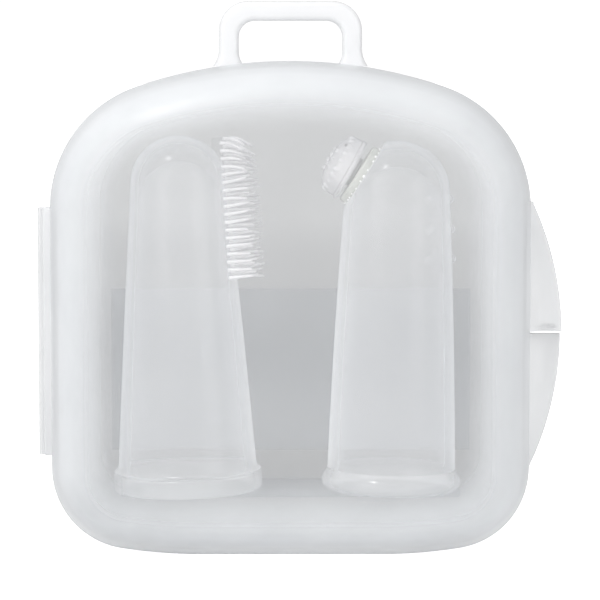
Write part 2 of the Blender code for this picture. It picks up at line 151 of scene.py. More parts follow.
def case_outline(inset=0.0):
    """The case's front outline as (x, z), drawn in by an inset, from the base's middle round."""
    low_x = HALF_WIDTH - LOW_CORNER_RADIUS
    low_z = BASE_SWEEP_RADIUS - sqrt((BASE_SWEEP_RADIUS - LOW_CORNER_RADIUS) ** 2
                                     - (low_x - BASE_FLAT) ** 2)
    sweep_end = degrees(atan2(low_z - BASE_SWEEP_RADIUS, low_x - BASE_FLAT))
    high_x = HALF_WIDTH - HIGH_CORNER_RADIUS
    crown_z = CASE_HEIGHT - CROWN_RADIUS
    high_z = crown_z + sqrt((CROWN_RADIUS - HIGH_CORNER_RADIUS) ** 2 - high_x ** 2)
    crown_start = degrees(atan2(high_z - crown_z, high_x))
    side = HALF_WIDTH - inset
    right = (line((0, inset), (BASE_FLAT, inset), 8)
             + arc((BASE_FLAT, BASE_SWEEP_RADIUS), BASE_SWEEP_RADIUS - inset, -90, sweep_end, 6)[1:]
             + arc((low_x, low_z), LOW_CORNER_RADIUS - inset, sweep_end, 0, 20)[1:]
             + line((side, low_z), (side, high_z), 16)[1:]
             + arc((high_x, high_z), HIGH_CORNER_RADIUS - inset, 0, crown_start, 22)[1:]
             + arc((0, crown_z), CROWN_RADIUS - inset, crown_start, 90, 16)[1:])
    return right + [(-x, z) for x, z in reversed(right[1:-1])]


def loft(shape, rings, wrap=False, start=None, end=None, caps=False):
    """Adds quads between closed rings of points to a bmesh.

    It can wrap round to its start, run to a point at each end, or have a flat cap at each end.
    """
    rows = [[shape.verts.new(point) for point in ring] for ring in rings]
    count = len(rows[0])
    pairs = list(zip(rows, rows[1:]))
    if wrap:
        pairs.append((rows[-1], rows[0]))
    for near, far in pairs:
        for item in range(count):
            after = (item + 1) % count
            shape.faces.new((near[item], near[after], far[after], far[item]))
    for row, tip in ((rows[0], start), (rows[-1], end)):
        if tip is not None:
            point = shape.verts.new(tip)
            for item in range(count):
                shape.faces.new((row[item], row[(item + 1) % count], point))
        elif caps:
            shape.faces.new(row)
    return [vert for row in rows for vert in row]


def turned(shape, profile, steps=96):
    """Adds a profile of (radius, height), whose ends are on the axis, turned round z."""
    turns = [2 * pi * step / steps for step in range(steps)]
    rings = [[(radius * cos(turn), radius * sin(turn), height) for turn in turns]
             for radius, height in profile[1:-1]]
    ends = [(0, 0, profile[end][1]) for end in (0, -1)]
    return loft(shape, rings, start=ends[0], end=ends[1])


def tube(shape, path, radii, sides=8):
    """Adds a round tube along a path, with a radius at each point, closed at both ends."""
    rings = []
    for item, (point, radius) in enumerate(zip(path, radii)):
        ahead = path[min(item + 1, len(path) - 1)] - path[max(item - 1, 0)]
        turn = ahead.to_track_quat("Z", "Y")
        rings.append([point + turn @ Vector((radius * cos(2 * pi * side / sides),
                                             radius * sin(2 * pi * side / sides), 0))
                      for side in range(sides)])
    loft(shape, rings, start=path[0], end=path[-1])


def rounded_box(shape, low, high, radius, segments=3):
    """Adds a box with rounded edges."""
    low, high = Vector(low), Vector(high)
    made = bmesh.ops.create_cube(shape, size=1, matrix=Matrix.Translation((low + high) / 2)
                                 @ Matrix.Diagonal((*(high - low), 1)))
    edges = {edge for vert in made["verts"] for edge in vert.link_edges}
    bmesh.ops.bevel(shape, geom=list(edges), offset=radius, segments=segments, profile=0.5,
                    affect="EDGES")


def add_ball(shape, radius, centre, around, up, material=0):
    """Adds a ball whose faces have one of the piece's finishes."""
    turns = [2 * pi * (step / around + 0.25) for step in range(around)]
    rings = [[(centre.x + across * cos(turn), centre.y + across * sin(turn), centre.z + height)
              for turn in turns] for across, height in arc((0, 0), radius, 90, -90, up)[1:-1]]
    top = Vector((0, 0, radius))
    verts = loft(shape, rings, start=centre + top, end=centre - top)
    for face in {face for vert in verts for face in vert.link_faces}:
        face.material_index = material


def make_object(name, shape, finishes, sharp=40):
    """Turns a bmesh into an object, smooth up to an angle, with the finishes as its materials."""
    mesh = bpy.data.meshes.new(name)
    bmesh.ops.recalc_face_normals(shape, faces=shape.faces)
    shape.to_mesh(mesh)
    shape.free()
    mesh.shade_smooth()
    mesh.set_sharp_from_angle(angle=radians(sharp))
    for finish in finishes:
        mesh.materials.append(finish)
    made = bpy.data.objects.new(name, mesh)
    bpy.context.scene.collection.objects.link(made)
    return made


def make_piece(name, shape, finishes, body, node, sharp=40):
    """Makes a piece that rides on a body and stands for one of the frame's nodes."""
    piece = make_object(name, shape, finishes, sharp)
    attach(piece, body)
    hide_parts(node)


# ---------------------------------------------------------------- finishes

def remap(tree, value, low, high, start=0.0, stop=1.0):
    """Maps a value's range from start to stop onto low to high, and holds it there."""
    made = tree.nodes.new("ShaderNodeMapRange")
    ends = {"From Min": start, "From Max": stop, "To Min": low, "To Max": high}
    for label, number in ends.items():
        if isinstance(number, bpy.types.NodeSocket):
            tree.links.new(number, made.inputs[label])
        else:
            made.inputs[label].default_value = number
    tree.links.new(value, made.inputs["Value"])
    return made.outputs["Result"]


def calculate(tree, operation, value, other=None):
    """A math node on a value, with another value or a number."""
    made = tree.nodes.new("ShaderNodeMath")
    made.operation = operation
    tree.links.new(value, made.inputs[0])
    if isinstance(other, bpy.types.NodeSocket):
        tree.links.new(other, made.inputs[1])
    elif other is not None:
        made.inputs[1].default_value = other
    return made.outputs["Value"]


def noise_node(tree, scale, detail=2.0):
    """Noise in the row frame's own metres: scale is in features a metre."""
    place = tree.nodes.new("ShaderNodeTexCoord").outputs["Object"]
    made = tree.nodes.new("ShaderNodeTexNoise")
    made.inputs["Scale"].default_value = scale
    made.inputs["Detail"].default_value = detail
    tree.links.new(place, made.inputs["Vector"])
    return made.outputs["Fac"]


def spread(tree, value, low, high):
    """Maps the middle of a noise's range to a range of values."""
    return remap(tree, value, low, high, 0.3, 0.7)


def bump(tree, value, distance, strength=1.0, before=None):
    """A bump node, after an earlier one if there is one."""
    made = tree.nodes.new("ShaderNodeBump")
    made.inputs["Distance"].default_value = distance
    made.inputs["Strength"].default_value = strength
    tree.links.new(value, made.inputs["Height"])
    if before:
        tree.links.new(before, made.inputs["Normal"])
    return made.outputs["Normal"]


def make_finish(name, slot, light, dark, roughness, alpha, grain, grain_depth, cloud=90,
                rough_spread=0.05, ior=1.49):
    """A moulded finish: slightly cloudy colour, uneven gloss, a fine grain and a slow ripple."""
    finish = bpy.data.materials.new(name)
    finish.use_nodes = True
    finish["slot"] = slot
    tree = finish.node_tree
    shader = tree.nodes["Principled BSDF"]
    shader.inputs["Alpha"].default_value = alpha
    shader.inputs["IOR"].default_value = ior
    colours = tree.nodes.new("ShaderNodeMix")
    colours.data_type = "RGBA"
    colours.inputs[6].default_value = (*dark, 1)
    colours.inputs[7].default_value = (*light, 1)
    tree.links.new(spread(tree, noise_node(tree, cloud), 0, 1), colours.inputs[0])
    tree.links.new(colours.outputs[2], shader.inputs["Base Color"])
    uneven = spread(tree, noise_node(tree, GLOSS_SCALE, 3), roughness - rough_spread,
                    roughness + rough_spread)
    tree.links.new(uneven, shader.inputs["Roughness"])
    ripple = bump(tree, noise_node(tree, RIPPLE_SCALE, 1), RIPPLE_DEPTH, 0.5)
    fine = bump(tree, noise_node(tree, grain, 3), grain_depth, 1.0, ripple)
    tree.links.new(fine, shader.inputs["Normal"])
    return finish


def pass_light(tree, alpha):
    """Sets the alpha, and lets lamps' light on through: milky plastic scatters it forward."""
    path = tree.nodes.new("ShaderNodeLightPath")
    kept = remap(tree, path.outputs["Is Shadow Ray"], 1.0, SHADOW_SHARE)
    tree.links.new(calculate(tree, "MULTIPLY", alpha, kept),
                   tree.nodes["Principled BSDF"].inputs["Alpha"])


def milky_sides(finish, face_alpha, side_alpha):
    """Lets the flat faces show more of what is behind them than the turned-in sides do."""
    tree = finish.node_tree
    place = tree.nodes.new("ShaderNodeTexCoord")
    parts = tree.nodes.new("ShaderNodeSeparateXYZ")
    tree.links.new(place.outputs["Normal"], parts.inputs["Vector"])
    turned_in = remap(tree, calculate(tree, "ABSOLUTE", parts.outputs["Y"]), 0.0, 1.0, 1.0, 0.5)
    curve = calculate(tree, "POWER", turned_in, 0.55)
    pass_light(tree, remap(tree, curve, face_alpha, side_alpha))
    return finish


def dense_edges(finish, low, high, power):
    """Clear silicone looks denser where it is seen edge on, through more of its wall."""
    tree = finish.node_tree
    weight = tree.nodes.new("ShaderNodeLayerWeight")
    weight.inputs["Blend"].default_value = 0.5
    curve = calculate(tree, "POWER", weight.outputs["Facing"], power)
    pass_light(tree, remap(tree, curve, low, high))
    return finish


def make_finishes():
    """Every finish, by name."""
    clear = dict(slot="clear_silicone", grain=900, grain_depth=0.01 * MM, cloud=140,
                 rough_spread=0.04)
    soft = dict(slot="bristle_silicone", grain=1500, grain_depth=0.008 * MM, ior=1.41)
    frosted = make_finish("frosted_polypropylene", "frosted_case", (0.84, 0.855, 0.87),
                          (0.80, 0.815, 0.835), roughness=0.34, alpha=0.3, grain=5200,
                          grain_depth=0.006 * MM)
    silicone = make_finish("clear_silicone", light=(0.95, 0.96, 0.97), dark=(0.92, 0.93, 0.95),
                           roughness=0.14, alpha=0.2, ior=1.9, **clear)
    bore = make_finish("clear_silicone_bore", light=(0.95, 0.96, 0.97), dark=(0.92, 0.93, 0.95),
                       roughness=0.22, alpha=0.2, ior=1.41, **clear)
    return {
        "frosted": milky_sides(frosted, 0.10, 0.62),
        "solid": make_finish("solid_polypropylene", "frosted_case", (0.88, 0.885, 0.895),
                             (0.84, 0.85, 0.86), roughness=0.36, alpha=0.7, grain=5200,
                             grain_depth=0.006 * MM),
        # Painted shade: the parts inside the case are the same frosted polypropylene, painted
        # darker.
        "inner": make_finish("shaded_inner_polypropylene", "frosted_case", (0.66, 0.69, 0.72),
                             (0.60, 0.63, 0.66), roughness=0.30, alpha=0.16, grain=3000,
                             grain_depth=0.004 * MM),
        "handle": make_finish("satin_polypropylene", "pale_handle", (0.90, 0.905, 0.915),
                              (0.87, 0.875, 0.89), roughness=0.34, alpha=0.7, grain=4200,
                              grain_depth=0.005 * MM),
        "silicone": dense_edges(silicone, 0.14, 1.0, 2.1),
        "bore": dense_edges(bore, 0.07, 0.22, 3.0),
        "rim": make_finish("thick_silicone", light=(0.95, 0.96, 0.965), dark=(0.92, 0.93, 0.94),
                           roughness=0.16, alpha=0.3, ior=1.6, **clear),
        "bubble": make_finish("silicone_bubble", "bristle_silicone", (0.97, 0.97, 0.97),
                              (0.95, 0.95, 0.95), roughness=0.08, alpha=1.0, grain=900,
                              grain_depth=0.004 * MM, cloud=140, rough_spread=0.03, ior=1.6),
        "bristle": make_finish("milky_silicone", light=(0.95, 0.945, 0.955),
                               dark=(0.90, 0.89, 0.905), roughness=0.20, alpha=0.62, cloud=500,
                               **soft),
        "pad": make_finish("tinted_silicone", light=(0.94, 0.95, 0.89), dark=(0.90, 0.92, 0.85),
                           roughness=0.18, alpha=0.45, cloud=300, **soft),
    }


# ---------------------------------------------------------------- the case

def shell_section():
    """The shell's outer surface as (inset, depth from y = 0), from the seam to the face's edge."""
    steps = 26
    section = []
    for step in range(steps + 1):
        turn = pi / 2 * step / steps
        inset = FACE_INSET * (1 - max(cos(turn), 0) ** (2 / SECTION_POWER))
        depth = (HALF_DEPTH - FACE_CROWN) * sin(turn) ** (2 / SECTION_POWER)
        if depth > SEAM + 2 * RIM_ROUND:
            section.append((inset, depth))
    return section


def inner_section(section):
    """The same surface, a wall's thickness further in."""
    (first_inset, first_depth), (last_inset, last_depth) = section[0], section[-1]
    longer = [(first_inset, first_depth - WALL)] + section + [(last_inset + WALL, last_depth)]
    inner = []
    for before, (inset, depth), after in zip(longer, section, longer[2:]):
        along = Vector((after[0] - before[0], after[1] - before[1])).normalized()
        inner.append((inset + WALL * along.y, depth - WALL * along.x))
    return inner


def face_rings(inset, depth, side):
    """Rings across the face, shrinking to its middle and rising to the crown."""
    middle = CASE_HEIGHT / 2
    edge = case_outline(inset)
    rings = []
    for step in range(1, 12):
        share = 1 - step / 12
        rise = FACE_CROWN * (1 - share ** 2) ** 2
        rings.append([(x * share, side * (depth + rise), middle + (z - middle) * share)
                      for x, z in edge])
    return rings, (0, side * (depth + FACE_CROWN), middle)


def case_shell(name, side, finish, body, node):
    """One shell: a single skin, out over its face and back along the inside of its wall."""
    outer = shell_section()
    inner = inner_section(outer)
    rim = [(WALL, SEAM + RIM_ROUND), (WALL - RIM_ROUND, SEAM), (RIM_ROUND, SEAM),
           (RIM_ROUND * 0.3, SEAM + RIM_ROUND * 0.3), (0, SEAM + RIM_ROUND)]
    section = list(reversed(inner)) + rim + outer
    rings = [[(x, side * depth, z) for x, z in case_outline(inset)] for inset, depth in section]
    inside, inside_middle = face_rings(*inner[-1], side)
    outside, outside_middle = face_rings(*outer[-1], side)
    shape = bmesh.new()
    loft(shape, list(reversed(inside)) + rings + outside, start=inside_middle, end=outside_middle)
    make_piece(name, shape, [finish], body, node)


def swept_band(shape, inset_low, inset_high, near, far, radius):
    """Adds a band that follows the case's outline, with rounded edges."""
    corners = ((inset_high - radius, far - radius, 0), (inset_low + radius, far - radius, 90),
               (inset_low + radius, near + radius, 180), (inset_high - radius, near + radius, 270))
    section = [point for inset, y, start in corners
               for point in arc((inset, y), radius, start, start + 90, 3)]
    rings = [[(x, y, z) for x, z in case_outline(inset)] for inset, y in section]
    loft(shape, rings, wrap=True)


def closing_lip(finish):
    """The ring inside the seam."""
    low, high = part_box("closing_lip")
    inset = HALF_WIDTH - high.x
    shape = bmesh.new()
    swept_band(shape, inset, inset + 0.9 * MM, low.y, high.y, 0.2 * MM)
    make_piece("closing_lip_ring", shape, [finish], "case_back", "closing_lip")


def hinge_leaf(name, node, body, finish):
    """A shell's strip along the hinge, run into the shell's side."""
    low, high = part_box(node)
    shape = bmesh.new()
    rounded_box(shape, low, high + Vector((0.6 * MM, 0, 0)), 0.35 * MM)
    make_piece(name, shape, [finish], body, node)


def hinge_web(finish):
    """The thin folded web."""
    low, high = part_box("living_hinge")
    centre = (high.x, 0)
    outer = high.y
    inner = outer - 0.3 * MM
    tail = high.x + 0.5 * MM
    section = ([(tail, outer)] + arc(centre, outer, 90, 270, 24) + [(tail, -outer), (tail, -inner)]
               + arc(centre, inner, 270, 90, 24) + [(tail, inner)])
    heights = [low.z + (high.z - low.z) * step / 12 for step in range(13)]
    shape = bmesh.new()
    loft(shape, [[(x, y, z) for x, y in section] for z in heights], caps=True)
    web = make_object("hinge_web", shape, [finish])
    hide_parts("living_hinge")
    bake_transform(web)


def thumb_tab(name, node, body, finish):
    """A fin of the thumb grip, with a rounded outer edge and a hollow for the thumb at the split.

    The upper fin also has a small pit in its front, just above the split.
    """
    pit_out, pit_up, pit_depth = 2.5 * MM, 0.6 * MM, 0.7 * MM
    pit_half_width, pit_half_height = 1.3 * MM, 0.45 * MM
    low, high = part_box(node)
    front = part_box("front_thumb_tab")
    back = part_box("rear_thumb_tab")
    top, bottom = front[1].z, back[0].z
    split = (front[0].z + back[1].z) / 2
    reach = max(front[1].x, back[1].x) - low.x
    half_span = (top - bottom) / 2
    radius = (half_span ** 2 + reach ** 2) / (2 * reach)
    middle = (top + bottom) / 2
    root = HALF_WIDTH - 0.6 * MM
    steps, across = 44, 14
    rings = []
    for step in range(steps + 1):
        z = low.z + (high.z - low.z) * (0.5 - cos(pi * step / steps) / 2)
        edge = low.x + reach - radius + sqrt(radius ** 2 - (z - middle) ** 2)
        edge = max(edge, low.x + 0.15 * MM)
        hollow = 0.95 * MM * max(0, 1 - (abs(z - split) / (15 * MM)) ** 2) ** 1.5
        thin = min(1, (edge - low.x) / (1.5 * MM)) ** 0.5
        half = (high.y - low.y) / 2 * (0.35 + 0.65 * thin)
        centre = (high.y + low.y) / 2
        near, far = [], []
        for item in range(across + 1):
            share = item / across
            x = root + (edge - root) * (1 - (1 - share) ** 1.6)
            round_off = sqrt(max(0, 1 - max(0, (share - 0.72) / 0.28) ** 2))
            dish = hollow * sin(pi * min(1, max(0, (x - low.x) / max(edge - low.x, 1e-6)))) ** 0.8
            if low.z > split:
                beside = (((x - low.x - pit_out) / pit_half_width) ** 2
                          + ((z - low.z - pit_up) / pit_half_height) ** 2)
                dish += pit_depth * max(0, 1 - beside ** 2)
            near.append((x, centre - half * (0.25 + 0.75 * round_off) + dish, z))
            far.append((x, centre + half * (0.25 + 0.75 * round_off), z))
        rings.append(near + list(reversed(far)))
    shape = bmesh.new()
    loft(shape, rings, caps=True)
    make_piece(name, shape, [finish], body, node)


def carry_handle(finish):
    """The loop: one rounded section along the hoop, its feet flared into the crown."""
    low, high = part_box("carry_handle")
    half = high.x
    band = 3.1 * MM
    foot = low.z - 0.7 * MM
    corner = 4.7 * MM
    middle_y, half_y = (low.y + high.y) / 2, (high.y - low.y) / 2

    def hoop(inset):
        radius = corner - inset * 0.7
        turn_x, turn_z = half - inset - radius, high.z - inset - radius
        right = (line((half - inset, foot), (half - inset, turn_z), 12)
                 + arc((turn_x, turn_z), radius, 0, 90, 14)[1:]
                 + line((turn_x, high.z - inset), (0, high.z - inset), 6)[1:])
        return right + [(-x, z) for x, z in reversed(right[:-1])]

    round_off = 0.28
    far = 1 - round_off
    corners = ((far, far, 0), (round_off, far, 90), (round_off, round_off, 180),
               (far, round_off, 270))
    section = [point for x, y, start in corners
               for point in arc((x, y), round_off, start, start + 90, 5)]
    rings = []
    for (inner_x, inner_z), (outer_x, outer_z) in zip(hoop(band), hoop(0)):
        flare = 0.3 * max(0, 1 - (inner_z - foot) / (2.2 * MM)) ** 2
        ring = []
        for across, deep in section:
            share = 0.5 + (across - 0.5) * (1 + 2 * flare)
            y = middle_y + (deep - 0.5) * 2 * half_y * (1 + flare)
            ring.append((inner_x + (outer_x - inner_x) * share, y,
                         inner_z + (outer_z - inner_z) * share))
        rings.append(ring)
    shape = bmesh.new()
    loft(shape, rings, caps=True)
    make_piece("handle_loop", shape, [finish], "case_back", "carry_handle")


def shelf(finish):
    """The ledge that both rims stand on."""
    low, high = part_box("brush_shelf")
    shape = bmesh.new()
    rounded_box(shape, low, high, 0.4 * MM)
    make_piece("rim_shelf", shape, [finish], "case_back", "brush_shelf")


def cradle(finish, brushes):
    """The raised panel behind the brushes: a skin with a groove that follows each thimble."""
    low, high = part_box("brush_cradle")
    rows, per_band = 30, 14
    room = 2 * SEAM             # between a thimble and its groove
    shape = bmesh.new()
    rings = []
    for step in range(rows + 1):
        z = low.z + (high.z - low.z) * step / rows
        stops = [low.x]
        grooves = []
        for origin, brush in brushes:
            height = z - origin.z
            axis_x = origin.x + height * sin(radians(brush["lean"]))
            share = (height - FOOT_HEIGHT) / (brush["length"] - brush["shoulder"] - FOOT_HEIGHT)
            radius = brush["foot"] + (brush["shoulder"] - brush["foot"]) * share + room
            half = sqrt(max(radius ** 2 - (low.y - origin.y) ** 2, 0))
            stops += [axis_x - half, axis_x + half]
            grooves.append((axis_x, origin.y, radius, half))
        stops.append(high.x)
        front = []
        for near, far in zip(stops, stops[1:]):
            for item in range(per_band):
                x = near + (far - near) * item / per_band
                y = low.y
                for axis_x, axis_y, radius, half in grooves:
                    if abs(x - axis_x) < half:
                        y = max(y, axis_y + sqrt(radius ** 2 - (x - axis_x) ** 2))
                front.append((x, min(y, high.y - 0.2 * MM), z))
        front.append((high.x, low.y, z))
        rings.append(front + [(high.x, high.y, z), (low.x, high.y, z)])
    loft(shape, rings, caps=True)
    make_piece("groove_panel", shape, [finish], "case_back", "brush_cradle", sharp=25)


# ---------------------------------------------------------------- the brushes

def brush_place(node, brush):
    """Where a thimble stands: the middle of its rim, and the lean."""
    low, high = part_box(node)
    rim = [vert.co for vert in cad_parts[node].data.vertices if vert.co.z < low.z + 0.8 * MM]
    middle = (Vector(map(min, *rim)) + Vector(map(max, *rim))) / 2
    origin = Vector((middle.x, middle.y, low.z + brush["rim"] * sin(radians(abs(brush["lean"])))))
    return origin, Matrix.Translation(origin) @ Matrix.Rotation(radians(brush["lean"]), 4, "Y")


def taper(brush, height, inset=0.0):
    """The thimble's radius at a height: one curve through its foot, middle and shoulder."""
    heights = (FOOT_HEIGHT, MIDDLE_HEIGHT, brush["length"] - brush["shoulder"])
    radii = (brush["foot"], brush["middle"], brush["shoulder"])
    total = 0
    for item, (place, radius) in enumerate(zip(heights, radii)):
        weight = 1
        for other, elsewhere in enumerate(heights):
            if other != item:
                weight *= (height - elsewhere) / (place - elsewhere)
        total += weight * radius
    return total - inset


def mark_thimble(shape, brush):
    """Gives the bore, whose faces look in at the axis, and the thick rim their own finishes."""
    bmesh.ops.recalc_face_normals(shape, faces=shape.faces)
    top = brush["length"] - brush["shoulder"] - TIP_EXTRA
    widest_bore = brush["foot"] - 0.6 * SLEEVE_WALL
    for face in shape.faces:
        middle = face.calc_center_median()
        outward = Vector((middle.x, middle.y, max(middle.z - top, 0)))
        if face.normal.dot(outward) < 0 and outward.length < widest_bore:
            face.material_index = BORE
        elif middle.z < RIM_HEIGHT:
            face.material_index = THICK_RIM


def thimble_finishes(finishes):
    """What a thimble's mesh is made of, in the order that mark_thimble() numbers."""
    return [finishes["silicone"], finishes["bore"], finishes["rim"]]


def thimble_profile(brush, rim):
    """Down the outside from the tip, round the rim, and up the inside, as (radius, height)."""
    start = brush["length"] - brush["shoulder"]
    dome = arc((0, start), brush["shoulder"], 90, 0, 20)
    outside = [(taper(brush, start - (start - FOOT_HEIGHT) * step / 30),
                start - (start - FOOT_HEIGHT) * step / 30) for step in range(1, 31)]
    inner_start = start - TIP_EXTRA
    inside = [(taper(brush, inner_start * step / 30, SLEEVE_WALL), inner_start * step / 30)
              for step in range(1, 30)]
    inner_dome = arc((0, inner_start), taper(brush, inner_start, SLEEVE_WALL), 0, 90, 16)
    return dome + outside + rim + inside + inner_dome


def band_rim(brush):
    """A flat band round the rim, stepped out from the thimble."""
    rim, foot = brush["rim"], brush["foot"]
    inner = taper(brush, 0, SLEEVE_WALL)
    step = [(foot + 0.05 * MM, 3.9 * MM), (foot + 0.25 * MM, 3.5 * MM), (rim - 0.12 * MM, 3.2 * MM)]
    return (step
            + arc((rim - 0.35 * MM, 2.6 * MM), 0.35 * MM, 50, 0, 3)
            + arc((rim - 0.5 * MM, 0.5 * MM), 0.5 * MM, 0, -90, 5)
            + arc((inner + 0.35 * MM, 0.35 * MM), 0.35 * MM, 270, 180, 4))


def bead_rim(brush):
    """A rolled bead round the rim."""
    rim, foot = brush["rim"], brush["foot"]
    inner = taper(brush, 0, SLEEVE_WALL)
    bead = 1.55 * MM
    return ([(foot - 0.02 * MM, 3.9 * MM), (foot + 0.02 * MM, 3.5 * MM)]
            + arc((rim - bead, bead), bead, 50, -90, 12)
            + arc((inner + 0.4 * MM, 0.4 * MM), 0.4 * MM, 270, 180, 4))


def bar_frame():
    """Where the bristle bar is in the brush: local +X runs out along the bristles."""
    middle = (BAR_LOW + BAR_HIGH) / 2
    return (Matrix.Rotation(radians(BAR_TURN), 4, "Z")
            @ Matrix.Translation((BAR_DISTANCE, 0, middle))
            @ Matrix.Rotation(radians(BAR_TILT), 4, "Y"))


def bristle(shape, base, along, bend, length, root, tip, sides=8):
    """Adds one tapered bristle with a round tip, bent off its line."""
    along = along.normalized()
    steps = 6
    path, radii = [], []
    for step in range(steps + 1):
        share = step / steps
        path.append(base + along * (length - tip) * share + bend * share ** 2)
        radii.append(root + (tip - root) * share)
    ahead = (path[-1] - path[-2]).normalized()
    for turn in (30, 60, 82):
        path.append(path[steps] + ahead * tip * sin(radians(turn)))
        radii.append(tip * cos(radians(turn)))
    tube(shape, path, radii, sides)


def toothbrush_bristles(place, finishes):
    """The clear bar and its rows of bristles.

    Every second column stands half a row higher. The highest rows are pressed together and down.
    """
    draw = Random(11)
    half = (BAR_HIGH - BAR_LOW) / 2
    shape = bmesh.new()
    rounded_box(shape, (-0.5 * MM, -BAR_WIDTH / 2, -half), (BAR_THICKNESS, BAR_WIDTH / 2, half),
                0.45 * MM)
    bmesh.ops.transform(shape, matrix=place @ bar_frame(), verts=shape.verts)
    make_piece("bristle_bar", shape, [finishes["bore"]], "toothbrush", "toothbrush_bristles")
    shape = bmesh.new()
    rows, columns = 18, 5
    pressed_rows = 5
    pitch_z = (2 * half - 1.1 * MM) / (rows - 1)
    pitch_y = (BAR_WIDTH - 1.3 * MM) / (columns - 1)
    for row in range(rows):
        z = (row - (rows - 1) / 2) * pitch_z
        for column in range(columns):
            y = (column - (columns - 1) / 2) * pitch_y
            stagger = (column % 2 - 0.5) * pitch_z / 2
            base = Vector((BAR_THICKNESS - 0.3 * MM, y, z + stagger))
            along = Vector((1, draw.uniform(-0.05, 0.05), 0.06 + draw.uniform(-0.05, 0.05)))
            bend = Vector((0, draw.uniform(-0.2, 0.2), draw.uniform(-0.22, 0.22))) * MM
            pressed = max(0, row - (rows - 1 - pressed_rows)) / pressed_rows
            bend += Vector((-0.5, 0, -1.3)) * MM * pressed
            bristle(shape, base, along, bend, 4.0 * MM * draw.uniform(0.95, 1.03), 0.31 * MM,
                    0.18 * MM)
    bmesh.ops.transform(shape, matrix=place @ bar_frame(), verts=shape.verts)
    make_piece("bristle_field", shape, [finishes["bristle"]], "toothbrush", "toothbrush_bristles")


def toothbrush(finishes):
    """The toothbrush's thimble and its bristles."""
    origin, place = brush_place("toothbrush_sleeve", TOOTHBRUSH)
    shape = bmesh.new()
    turned(shape, thimble_profile(TOOTHBRUSH, band_rim(TOOTHBRUSH)))
    mark_thimble(shape, TOOTHBRUSH)
    bmesh.ops.transform(shape, matrix=place, verts=shape.verts)
    make_piece("toothbrush_thimble", shape, thimble_finishes(finishes), "toothbrush",
               "toothbrush_sleeve")
    toothbrush_bristles(place, finishes)
    return origin, TOOTHBRUSH


def facet_frame():
    """Where the facet is in the brush: local +X points out of it, up and away."""
    return (Matrix.Translation((-FACET_DISTANCE, 0, FACET_HEIGHT)) @ Matrix.Rotation(pi, 4, "Z")
            @ Matrix.Rotation(-radians(FACET_SLANT), 4, "Y"))


def flatten_facet(verts):
    """Presses what lies beyond the facet's plane back onto it."""
    normal = (facet_frame().to_3x3() @ Vector((1, 0, 0))).normalized()
    on_plane = facet_frame().translation
    for vert in verts:
        beyond = (vert.co - on_plane).dot(normal)
        if beyond > 0:
            vert.co -= normal * beyond


def massager_thimble(place, finishes):
    """The massager's thimble, with its facet and its nubs."""
    shape = bmesh.new()
    verts = turned(shape, thimble_profile(MASSAGER, bead_rim(MASSAGER)), 120)
    mark_thimble(shape, MASSAGER)
    dome_foot = MASSAGER["length"] - 2 * MASSAGER["shoulder"]
    flatten_facet([vert for vert in verts if vert.co.z > dome_foot])
    sunk = 0.12 * MM
    for height in NUB_HEIGHTS:
        radius = taper(MASSAGER, height)
        for turn in NUB_TURNS:
            out = Vector((cos(radians(turn)), sin(radians(turn)), 0))
            centre = out * (radius - sunk) + Vector((0, 0, height))
            add_ball(shape, NUB_RADIUS, centre, 20, 12, 0 if turn == SIDE_TURN else BORE)
    bmesh.ops.transform(shape, matrix=place, verts=shape.verts)
    make_piece("massager_thimble", shape, thimble_finishes(finishes), "massager", "massager_sleeve")


def massager_pad(place, finishes):
    """The tinted pad on the facet, with small bubbles caught round its foot."""
    draw = Random(8)
    shape = bmesh.new()
    thick = 1.2 * MM
    edge = 0.4 * MM
    profile = ([(0, thick)] + arc((PAD_RADIUS - edge, thick - edge), edge, 90, 0, 5)
               + [(PAD_RADIUS, 0.05 * MM), (PAD_RADIUS - 0.3 * MM, -0.2 * MM), (0, -0.2 * MM)])
    turned(shape, profile, 72)
    bubbles = 26
    for item in range(bubbles):
        turn = 2 * pi * (item + draw.uniform(-0.4, 0.4)) / bubbles
        rim = Vector((PAD_RADIUS * cos(turn), PAD_RADIUS * sin(turn), draw.uniform(0, 0.15) * MM))
        add_ball(shape, draw.uniform(0.1, 0.27) * MM, rim, 10, 8, 1)
    bmesh.ops.transform(shape, matrix=place @ facet_frame() @ Matrix.Rotation(pi / 2, 4, "Y"),
                        verts=shape.verts)
    make_piece("massager_disc", shape, [finishes["pad"], finishes["bubble"]], "massager",
               "massager_pad")


